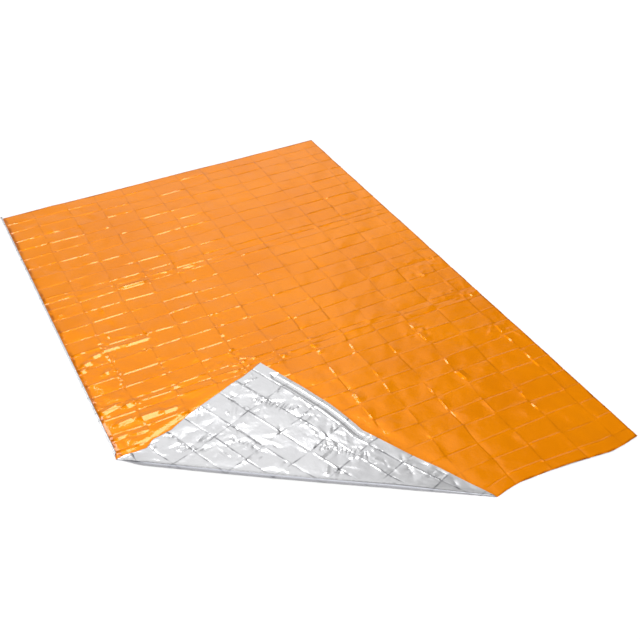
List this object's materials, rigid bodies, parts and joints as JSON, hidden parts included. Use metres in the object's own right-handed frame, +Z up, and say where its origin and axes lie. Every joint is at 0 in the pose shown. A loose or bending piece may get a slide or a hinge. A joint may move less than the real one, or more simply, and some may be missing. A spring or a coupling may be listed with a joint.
{
  "type": "emergency foil blanket",
  "caption": "Thin coated film sheet, orange face and silver back, laid flat with one corner folded over; wraps round a person to hold in body heat.",
  "frame": {"origin": "under the middle of the laid sheet, on the surface that it lies on", "axes": "+X across the sheet, +Y along it and away from the folded corner, +Z up"},
  "size_m": [1.4032, 2.197, 0.0138],
  "materials": {
    "coated_film": "glossy metallised film, orange on its face and silver on its back"
  },
  "bodies": {
    "root": {"blanket": "coated_film"}
  },
  "joints": []
}
